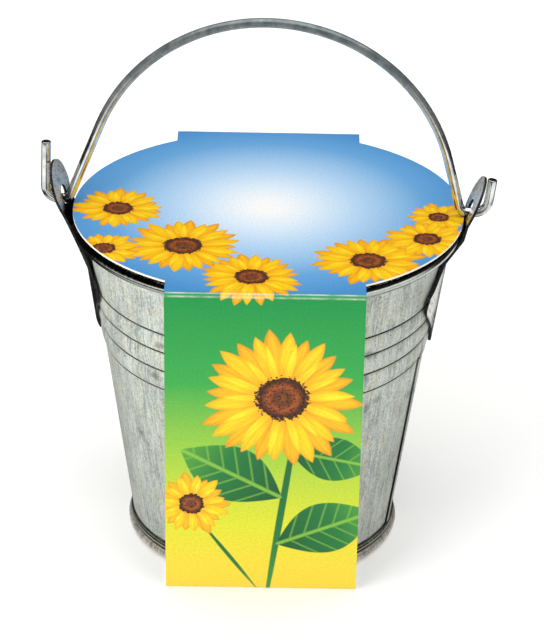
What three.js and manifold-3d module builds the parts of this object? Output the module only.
import * as THREE from 'three';
import { mergeVertices } from 'three/addons/utils/BufferGeometryUtils.js';
import Module from 'manifold-3d';

const wasm = await Module();
wasm.setup();

// Driving dimensions in millimetres. The origin is the centre of the footprint, +Z is up,
// the front of the card faces -Y and the ears stand on the X axis.

// Sheet metal of the bucket
const sheet = 0.5;
const around = 72; // facets round every turned piece
const wallLow = { radius: 30.1, height: 5.3 }; // outer wall just above the foot
const wallHigh = { radius: 40.3, height: 76.1 }; // outer wall at the middle of the rim
const rimRadius = 1.75; // section of the rolled rim
const rimTop = wallHigh.height + rimRadius;
const bandGrooves = [47.9, 52.8, 57.7, 62.5]; // heights of the four grooves that bound three bands
const bandBulge = 0.45;

// Foot: the bottom plate's hem holds the wall's lower edge
const footBottom = 0.6; // the card under the bucket lifts it by this much
const footTop = 4.1;
const footRadius = 30.75;
const floorTop = 3.9; // upper face of the recessed bottom plate
const floorBend = 0.8; // bevel between the plate and its skirt
const wallEnd = 1.35; // lower edge of the wall inside the hem
const hemGap = 0.2;

// Lock seam of the wall
const seamAngle = -16.5; // degrees round from +X, towards the front
const seamWidth = 2.8;
const seamRise = 0.4;

// Ears
const earPlate = 0.8;
const earStandOff = bandBulge + 0.15; // the plate lies over the bands
const earTip = 47.6;
const earCorner = 1.6; // set-back of every rounded corner of the leaf
const earShoulder = { height: 63, half: 16 };
const earNeck = { height: 73.6, half: 6.2 };
const earTop = { radius: 6.2, rise: 1.3, hole: 2.3 }; // the round top's centre lies above the hole's
const earBend = 3.6; // height of the second bend above the plate's touch on the rim
const earRimGap = 0.15;
const holePlay = 0.2; // gap under the wire in its hole
// Each top was bent by hand: degrees out from upright at the rim and above it, and twist about upright
const earBends = { right: { lean: 27, topLean: 17, twist: 0 }, left: { lean: 24, topLean: 12, twist: -6 } };
const weldMark = { angle: 20, height: 64.7, depth: 0.25, sphere: 2.2 };

// Bail: one wire in the plane of both ears
const wire = 1.05; // radius
const pivotHeight = 79.8;
const archRadius = 40.2;
const archCentre = 82.3;
const legAngle = 21.9; // degrees from upright
const hookBend = 2.1; // bend radius on the wire's axis
const hookLeft = { out: 49.2, top: 92.8, lean: 0 };
const hookRight = { out: 48.5, top: 87.6, lean: 14 };

// Card sleeve
const card = 0.45;
const lidRadius = 43.8;
const lidTop = 78.5;
const strapWidth = 42.5;
const strapFoot = 32.8; // half depth of the loop at the foot
const strapCrease = 43.9; // half depth of the loop at the lid
const strapTurn = 75.6; // height where the strap leaves the rim
const sleeveTurn = 3; // degrees: the sleeve is slipped on a little askew of the ears
const cardFold = { outside: 1.1, inside: 0.7 }; // length taken by a fold on each face

// Contents
const tablet = { radius: 24, height: 8, edge: 1.4 };
const sachet = { length: 42, width: 30, swell: 1.4, hem: 3, paperHalf: 0.3, turn: 28 };
const restGap = 0.3;

const degrees = Math.PI / 180;
const wallSlope = (wallHigh.radius - wallLow.radius) / (wallHigh.height - wallLow.height);
const wallAt = (height) => wallLow.radius + wallSlope * (height - wallLow.height);
const lerp = THREE.MathUtils.lerp;
const upright = new THREE.Vector3(0, 0, 1);
// Stands a drawing's plane across the X axis: its x runs along Y, its y along Z, its depth along X
const frontToX = new THREE.Matrix4().makeBasis(
  new THREE.Vector3(0, 1, 0), upright, new THREE.Vector3(1, 0, 0));

const finish = (color, roughness, metalness) => (
  new THREE.MeshStandardMaterial({ color, roughness, metalness }));
const zinc = () => finish(0xbfc3c0, 0.5, 0.85);
const brightZinc = () => finish(0xa9afae, 0.3, 0.95);
const printedCard = () => finish(0xf4b81c, 0.45, 0);
const peat = () => finish(0x4a3424, 0.95, 0);
const paper = () => finish(0xe9e2cf, 0.8, 0);

const model = new THREE.Group();

function addPiece(name, geometry, material) {
  const mesh = new THREE.Mesh(geometry, material);
  mesh.name = name;
  model.add(mesh);
  return mesh;
}

// A three.js geometry as a solid for joining and cutting; corners snap to a fine grid,
// so faces that are meant to be flush are exactly so
function toSolid(geometry) {
  const snap = (value) => Math.round(value * 1e4) / 1e4;
  geometry.deleteAttribute('normal');
  geometry.deleteAttribute('uv');
  reshape(geometry, (corner) => corner.set(snap(corner.x), snap(corner.y), snap(corner.z)));
  const merged = mergeVertices(geometry, 1e-4);
  return new wasm.Manifold(new wasm.Mesh({
    numProp: 3,
    vertProperties: new Float32Array(merged.attributes.position.array),
    triVerts: new Uint32Array(merged.index.array),
  }));
}

function toGeometry(solid) {
  const mesh = solid.getMesh();
  const geometry = new THREE.BufferGeometry();
  geometry.setAttribute('position', new THREE.BufferAttribute(new Float32Array(mesh.vertProperties), 3));
  geometry.setIndex(Array.from(mesh.triVerts));
  geometry.computeVertexNormals();
  return geometry;
}

// Moves every corner of a geometry by a rule
function reshape(geometry, rule) {
  const place = geometry.attributes.position;
  const corner = new THREE.Vector3();
  for (let i = 0; i < place.count; i++) {
    corner.fromBufferAttribute(place, i);
    rule(corner);
    place.setXYZ(i, corner.x, corner.y, corner.z);
  }
  return geometry;
}

// Points of an arc in the (radius, height) plane, angles in degrees
function arc(centre, radius, from, to, steps) {
  return Array.from({ length: steps + 1 }, (_, i) => {
    const angle = lerp(from, to, i / steps) * degrees;
    return new THREE.Vector2(centre.x + radius * Math.cos(angle), centre.y + radius * Math.sin(angle));
  });
}

// A closed (radius, height) outline, listed anticlockwise, turned about the Z axis
function turned(outline) {
  const closed = [...outline, outline[0].clone()];
  return new THREE.LatheGeometry(closed, around).rotateX(Math.PI / 2);
}

// Wall with its bands and its rolled rim, one sheet all the way
function wallGeometry() {
  const rim = new THREE.Vector2(wallHigh.radius - sheet + rimRadius, wallHigh.height);
  const rimFoot = rim.y - rimRadius - 1; // height where the wall starts to flare into the roll
  const curlEnd = -125; // degrees: the roll stops short of the wall
  const onWall = (height, inset) => new THREE.Vector2(wallAt(height) - inset, height);
  const bands = (steps, inset) => bandGrooves.slice(1).flatMap((top, i) => {
    return Array.from({ length: steps }, (_, k) => {
      const share = (k + 1) / steps;
      const rise = bandBulge * Math.sin(Math.PI * share);
      return onWall(lerp(bandGrooves[i], top, share), inset - rise);
    });
  });
  const outside = [onWall(wallEnd, 0), onWall(bandGrooves[0], 0), ...bands(4, 0), onWall(rimFoot, 0)];
  const curlInside = arc(rim, rimRadius - sheet, 190, curlEnd, 11);
  const curlOutside = arc(rim, rimRadius, curlEnd, 180, 13);
  const inside = [
    onWall(rimFoot, sheet),
    ...bands(3, sheet).reverse(),
    onWall(bandGrooves[0], sheet),
    onWall(wallEnd, sheet),
  ];
  return turned([...outside, ...curlInside, ...curlOutside, ...inside]);
}

// The folded lock seam stands a little proud of the wall from foot to rim
function seamGeometry() {
  const low = footTop + 0.6;
  const high = wallHigh.height - rimRadius - 1.2;
  const strip = new THREE.BoxGeometry(1, 1, 1, 1, 2, 1);
  return reshape(strip, (corner) => {
    const height = lerp(low, high, corner.z + 0.5);
    const radius = wallAt(height) + (corner.x > 0 ? seamRise : -sheet / 2);
    const angle = seamAngle * degrees + corner.y * seamWidth / wallHigh.radius;
    corner.set(radius * Math.cos(angle), radius * Math.sin(angle), height);
  });
}

function makeWall() {
  const wall = toSolid(wallGeometry()).add(toSolid(seamGeometry()));
  addPiece('bucket_wall', toGeometry(wall), zinc());
}

// Bottom plate: recessed floor, skirt down inside the wall, hem folded up outside it
function makeBottom() {
  const skirt = (height) => wallAt(height) - sheet - hemGap;
  const holder = (height) => wallAt(height) + hemGap;
  const hemRound = (footRadius - skirt(footBottom) + sheet) / 4;
  const hemEdge = (footRadius - holder(footTop)) / 2;
  const point = (radius, height) => new THREE.Vector2(radius, height);
  const outline = [
    point(0, floorTop - sheet),
    point(skirt(floorTop) - sheet - floorBend, floorTop - sheet),
    point(skirt(floorTop) - sheet, floorTop - sheet - floorBend),
    point(skirt(footBottom) - sheet, footBottom + hemRound),
    point(skirt(footBottom) - sheet + hemRound, footBottom),
    point(footRadius - hemRound, footBottom),
    point(footRadius, footBottom + hemRound),
    ...arc(point(footRadius - hemEdge, footTop - hemEdge), hemEdge, 0, 180, 6),
    point(holder(wallEnd), wallEnd - hemGap),
    point(skirt(wallEnd), wallEnd - hemGap),
    point(skirt(floorTop - floorBend), floorTop - floorBend),
    point(skirt(floorTop) - floorBend, floorTop),
    point(0, floorTop),
  ];
  addPiece('bucket_bottom', new THREE.LatheGeometry(outline, around).rotateX(Math.PI / 2), zinc());
}

// Side view of an ear: distance of the plate's inner face from the axis at each height
function earProfile(bends) {
  const lean = Math.tan(bends.lean * degrees);
  const wallFace = (height) => wallAt(height) + earStandOff;
  const reach = rimRadius + earRimGap;
  const touch = new THREE.Vector2(
    wallHigh.radius - sheet + rimRadius + reach * Math.cos(bends.lean * degrees),
    wallHigh.height - reach * Math.sin(bends.lean * degrees));
  const kink = (touch.x - lean * touch.y - wallFace(0)) / (wallSlope - lean);
  const bend = touch.y + earBend;
  const slant = (height) => touch.x + lean * (height - touch.y);
  const top = (height) => slant(bend) + Math.tan(bends.topLean * degrees) * (height - bend);
  return (height) => {
    if (height < kink) return wallFace(height);
    return height < bend ? slant(height) : top(height);
  };
}

// Height of the centre of an ear's hole: the wire lies near the hole's lower edge
function holeHeight(bends) {
  return pivotHeight + earTop.hole * Math.cos(bends.topLean * degrees) - wire - holePlay;
}

// Front view of an ear: leaf on the wall, neck past the rim, round top with the bail's hole
function earOutline(bends) {
  const squash = Math.cos(bends.topLean * degrees);
  const hole = holeHeight(bends);
  const crown = hole + earTop.rise * squash;
  const { half, height } = earShoulder;
  const side = [
    [1.2, earTip + 0.5],
    [half - earCorner, height - 1.5 * earCorner, half + 0.9 * earCorner, height],
    [half - earCorner, height + 1.6 * earCorner],
    [earNeck.half + 2 * earCorner, earNeck.height - 2 * earCorner, earNeck.half, earNeck.height],
    [earTop.radius, earNeck.height + 2 * earCorner],
  ];
  const outline = new THREE.Shape();
  outline.moveTo(-side[0][0], side[0][1]);
  outline.quadraticCurveTo(0, earTip - 0.5, ...side[0]);
  outline.lineTo(side[1][0], side[1][1]);
  outline.quadraticCurveTo(side[1][2], side[1][3], ...side[2]);
  outline.lineTo(side[3][0], side[3][1]);
  outline.quadraticCurveTo(side[3][2], side[3][3], ...side[4]);
  outline.lineTo(earTop.radius, crown);
  outline.absellipse(0, crown, earTop.radius, earTop.radius * squash, 0, Math.PI, false, 0);
  outline.lineTo(-side[4][0], side[4][1]);
  outline.quadraticCurveTo(-side[3][2], side[3][3], -side[3][0], side[3][1]);
  outline.lineTo(-side[2][0], side[2][1]);
  outline.quadraticCurveTo(-side[1][2], side[1][3], -side[1][0], side[1][1]);
  outline.closePath();
  const bore = new THREE.Path();
  bore.absellipse(0, hole, earTop.hole, earTop.hole * squash, 0, 2 * Math.PI, true, 0);
  outline.holes.push(bore);
  return outline;
}

// A bent plate larger than the ear: wrapped round the wall below, flat and twisted at the top
function earBlank(bends) {
  const profile = earProfile(bends);
  const margin = 3;
  const low = earTip - margin;
  const high = pivotHeight + earTop.rise + earTop.radius + margin;
  const middle = profile(holeHeight(bends)) + earPlate / 2;
  const blank = new THREE.BoxGeometry(1, 1, 1, 1, 14, 19);
  return reshape(blank, (corner) => {
    const height = lerp(low, high, corner.z + 0.5);
    const step = 0.2; // height difference that the slope is taken over
    const tilt = Math.atan((profile(height + step) - profile(height - step)) / (2 * step));
    const out = corner.x > 0 ? earPlate : 0;
    const flat = THREE.MathUtils.smoothstep(height, earNeck.height - 5, pivotHeight - 2);
    const radius = wallAt(height) / (1 - 0.97 * flat); // nearly flat at the top
    const angle = corner.y * 2 * (earShoulder.half + margin) / radius;
    const distance = profile(height) + out * Math.cos(tilt) - radius * (1 - Math.cos(angle));
    corner.set(distance - middle, radius * Math.sin(angle), height - out * Math.sin(tilt));
    const twisted = THREE.MathUtils.smoothstep(height, rimTop - 0.5, pivotHeight + 2);
    corner.applyAxisAngle(upright, twisted * bends.twist * degrees);
    corner.x += middle;
  });
}

// Two shallow round dents where the plate is welded to the wall
function weldDents() {
  const { angle, height, depth, sphere } = weldMark;
  const face = wallAt(height) + earStandOff + earPlate - depth + sphere;
  return [-angle, angle].map((turn) => new THREE.SphereGeometry(sphere, 14, 10)
    .translate(face * Math.cos(turn * degrees), face * Math.sin(turn * degrees), height));
}

function makeEar(name, bends, turn) {
  const reach = wallHigh.radius;
  const outline = new THREE.ExtrudeGeometry(
    earOutline(bends), { depth: reach, bevelEnabled: false, curveSegments: 8 });
  outline.applyMatrix4(frontToX).translate(reach / 2, 0, 0);
  let ear = toSolid(earBlank(bends)).intersect(toSolid(outline));
  for (const dent of weldDents()) ear = ear.subtract(toSolid(dent));
  addPiece(name, toGeometry(ear), brightZinc()).rotation.z = turn * degrees;
}

// The bail's axis as straight and curved stretches in the XZ plane; each has its own number of steps,
// so the small bends are as smooth as the wide arch
class WireRoute extends THREE.Curve {
  constructor(stretches) {
    super();
    this.stretches = stretches;
    this.total = stretches.reduce((sum, stretch) => sum + stretch.steps, 0);
  }

  getUtoTmapping(u) {
    return u;
  }

  getPoint(t, target = new THREE.Vector3()) {
    let left = t * this.total;
    let stretch = this.stretches[0];
    for (stretch of this.stretches) {
      if (left <= stretch.steps) break;
      left -= stretch.steps;
    }
    const part = Math.min(left / stretch.steps, 1);
    if (stretch.radius) {
      const angle = lerp(stretch.from, stretch.to, part) * degrees;
      return target.set(
        stretch.centre.x + stretch.radius * Math.cos(angle), 0,
        stretch.centre.y + stretch.radius * Math.sin(angle));
    }
    return target.set(lerp(stretch.a.x, stretch.b.x, part), 0, lerp(stretch.a.y, stretch.b.y, part));
  }
}

// Half of the bail for one side, from the top of the arch to the hook's end, on the +X side
function bailHalf(hook) {
  const leg = legAngle * degrees;
  const legTop = new THREE.Vector2(archRadius * Math.cos(leg), archCentre + archRadius * Math.sin(leg));
  const corner = legTop.x + (legTop.y - pivotHeight) * Math.tan(leg);
  const legTurn = 90 - legAngle;
  const legSetBack = hookBend * Math.tan(legTurn * degrees / 2);
  const legEnd = new THREE.Vector2(
    corner - legSetBack * Math.sin(leg), pivotHeight + legSetBack * Math.cos(leg));
  const innerBend = new THREE.Vector2(corner + legSetBack, pivotHeight + hookBend);
  const hookTurn = 90 - hook.lean;
  const outerBend = new THREE.Vector2(hook.out - hookBend, pivotHeight + hookBend);
  const pinIn = new THREE.Vector2(innerBend.x, pivotHeight);
  const pinOut = new THREE.Vector2(outerBend.x, pivotHeight);
  const lean = hook.lean * degrees;
  const hookLow = new THREE.Vector2(hookBend * Math.cos(lean), -hookBend * Math.sin(lean)).add(outerBend);
  const hookHigh = new THREE.Vector2(hookLow.x + (hook.top - hookLow.y) * Math.tan(lean), hook.top);
  return [
    { centre: new THREE.Vector2(0, archCentre), radius: archRadius, from: 90, to: legAngle, steps: 17 },
    { a: legTop, b: legEnd, steps: 2 },
    { centre: innerBend, radius: hookBend, from: 180 + legAngle, to: 270, steps: 4 },
    { a: pinIn, b: pinOut, steps: 1 },
    { centre: outerBend, radius: hookBend, from: -90, to: hookTurn - 90, steps: 5 },
    { a: hookLow, b: hookHigh, steps: 2 },
  ];
}

// The same stretches seen from the other side, run backwards
function mirrored(stretches) {
  const flip = (point) => new THREE.Vector2(-point.x, point.y);
  return stretches.toReversed().map((stretch) => (stretch.radius
    ? { ...stretch, centre: flip(stretch.centre), from: 180 - stretch.to, to: 180 - stretch.from }
    : { a: flip(stretch.b), b: flip(stretch.a), steps: stretch.steps }));
}

function makeBail() {
  const route = new WireRoute([...mirrored(bailHalf(hookLeft)), ...bailHalf(hookRight)]);
  const section = new THREE.Shape().absarc(0, 0, wire, 0, 2 * Math.PI, false);
  const rod = new THREE.ExtrudeGeometry(
    section, { steps: route.total, extrudePath: route, curveSegments: 6 });
  addPiece('bail_handle', rod, brightZinc());
}

// Corners of the strap's loop in the (depth, height) plane, set in from its outer face
function loopCorners(inset) {
  const side = new THREE.Vector2(strapFoot - strapCrease, -strapTurn).normalize();
  const normal = new THREE.Vector2(side.y, -side.x);
  const onSide = new THREE.Vector2(strapFoot, 0).addScaledVector(normal, inset);
  const depthAt = (height) => onSide.x + (height - onSide.y) * side.x / side.y;
  const crease = strapCrease - inset;
  const turn = onSide.y + (crease - onSide.x) * side.y / side.x;
  const right = [
    new THREE.Vector2(depthAt(inset), inset),
    new THREE.Vector2(crease, turn),
    new THREE.Vector2(crease, lidTop - inset),
  ];
  return [...right, ...right.toReversed().map((p) => new THREE.Vector2(-p.x, p.y))];
}

// A closed outline through the corners, each rounded by its share of the fold
function foldedLoop(path, corners, fold) {
  corners.forEach((corner, i) => {
    const before = corners[(i + corners.length - 1) % corners.length];
    const after = corners[(i + 1) % corners.length];
    const start = corner.clone().addScaledVector(before.clone().sub(corner).normalize(), fold);
    const end = corner.clone().addScaledVector(after.clone().sub(corner).normalize(), fold);
    if (i === 0) path.moveTo(start.x, start.y);
    else path.lineTo(start.x, start.y);
    path.quadraticCurveTo(corner.x, corner.y, end.x, end.y);
  });
  path.closePath();
  return path;
}

function makeSleeve() {
  const band = foldedLoop(new THREE.Shape(), loopCorners(0), cardFold.outside);
  band.holes.push(foldedLoop(new THREE.Path(), loopCorners(card), cardFold.inside));
  const loop = new THREE.ExtrudeGeometry(
    band, { depth: strapWidth, bevelEnabled: false, curveSegments: 4 });
  loop.applyMatrix4(frontToX).translate(-strapWidth / 2, 0, 0);
  const lid = new THREE.CylinderGeometry(lidRadius, lidRadius, card, around).rotateX(Math.PI / 2);
  lid.translate(0, 0, lidTop - card / 2);
  const sleeve = toSolid(loop).add(toSolid(lid));
  addPiece('card_sleeve', toGeometry(sleeve), printedCard()).rotation.z = sleeveTurn * degrees;
}

// Pressed peat disc with softened edges
function makeTablet() {
  const low = floorTop + restGap;
  const { radius, height, edge } = tablet;
  const outline = [
    new THREE.Vector2(0, low),
    ...arc(new THREE.Vector2(radius - edge, low + edge), edge, -90, 0, 4),
    ...arc(new THREE.Vector2(radius - edge, low + height - edge), edge, 0, 90, 4),
    new THREE.Vector2(0, low + height),
  ];
  addPiece('soil_tablet', new THREE.LatheGeometry(outline, 48).rotateX(Math.PI / 2), peat());
}

// Sealed paper pouch, swollen by the seeds and flat along its crimped edges
function makeSachet() {
  const { length, width, swell, hem, paperHalf, turn } = sachet;
  const middle = floorTop + restGap + tablet.height + restGap + paperHalf + swell;
  const pouch = new THREE.BoxGeometry(length, width, 1, 14, 10, 1);
  reshape(pouch, (corner) => {
    const along = Math.min(1, (length / 2 - Math.abs(corner.x)) / (length / 2 - hem));
    const across = Math.min(1, (width / 2 - Math.abs(corner.y)) / (width / 2 - hem));
    const open = Math.sqrt(Math.sin(along * Math.PI / 2) * Math.sin(across * Math.PI / 2));
    const half = paperHalf + swell * THREE.MathUtils.smoothstep(open, 0.3, 1);
    corner.z = middle + Math.sign(corner.z) * half;
  });
  addPiece('seed_sachet', pouch, paper()).rotation.z = turn * degrees;
}

makeWall();
makeBottom();
makeEar('ear_right', earBends.right, 0);
makeEar('ear_left', earBends.left, 180);
makeBail();
makeSleeve();
makeTablet();
makeSachet();

export default model;
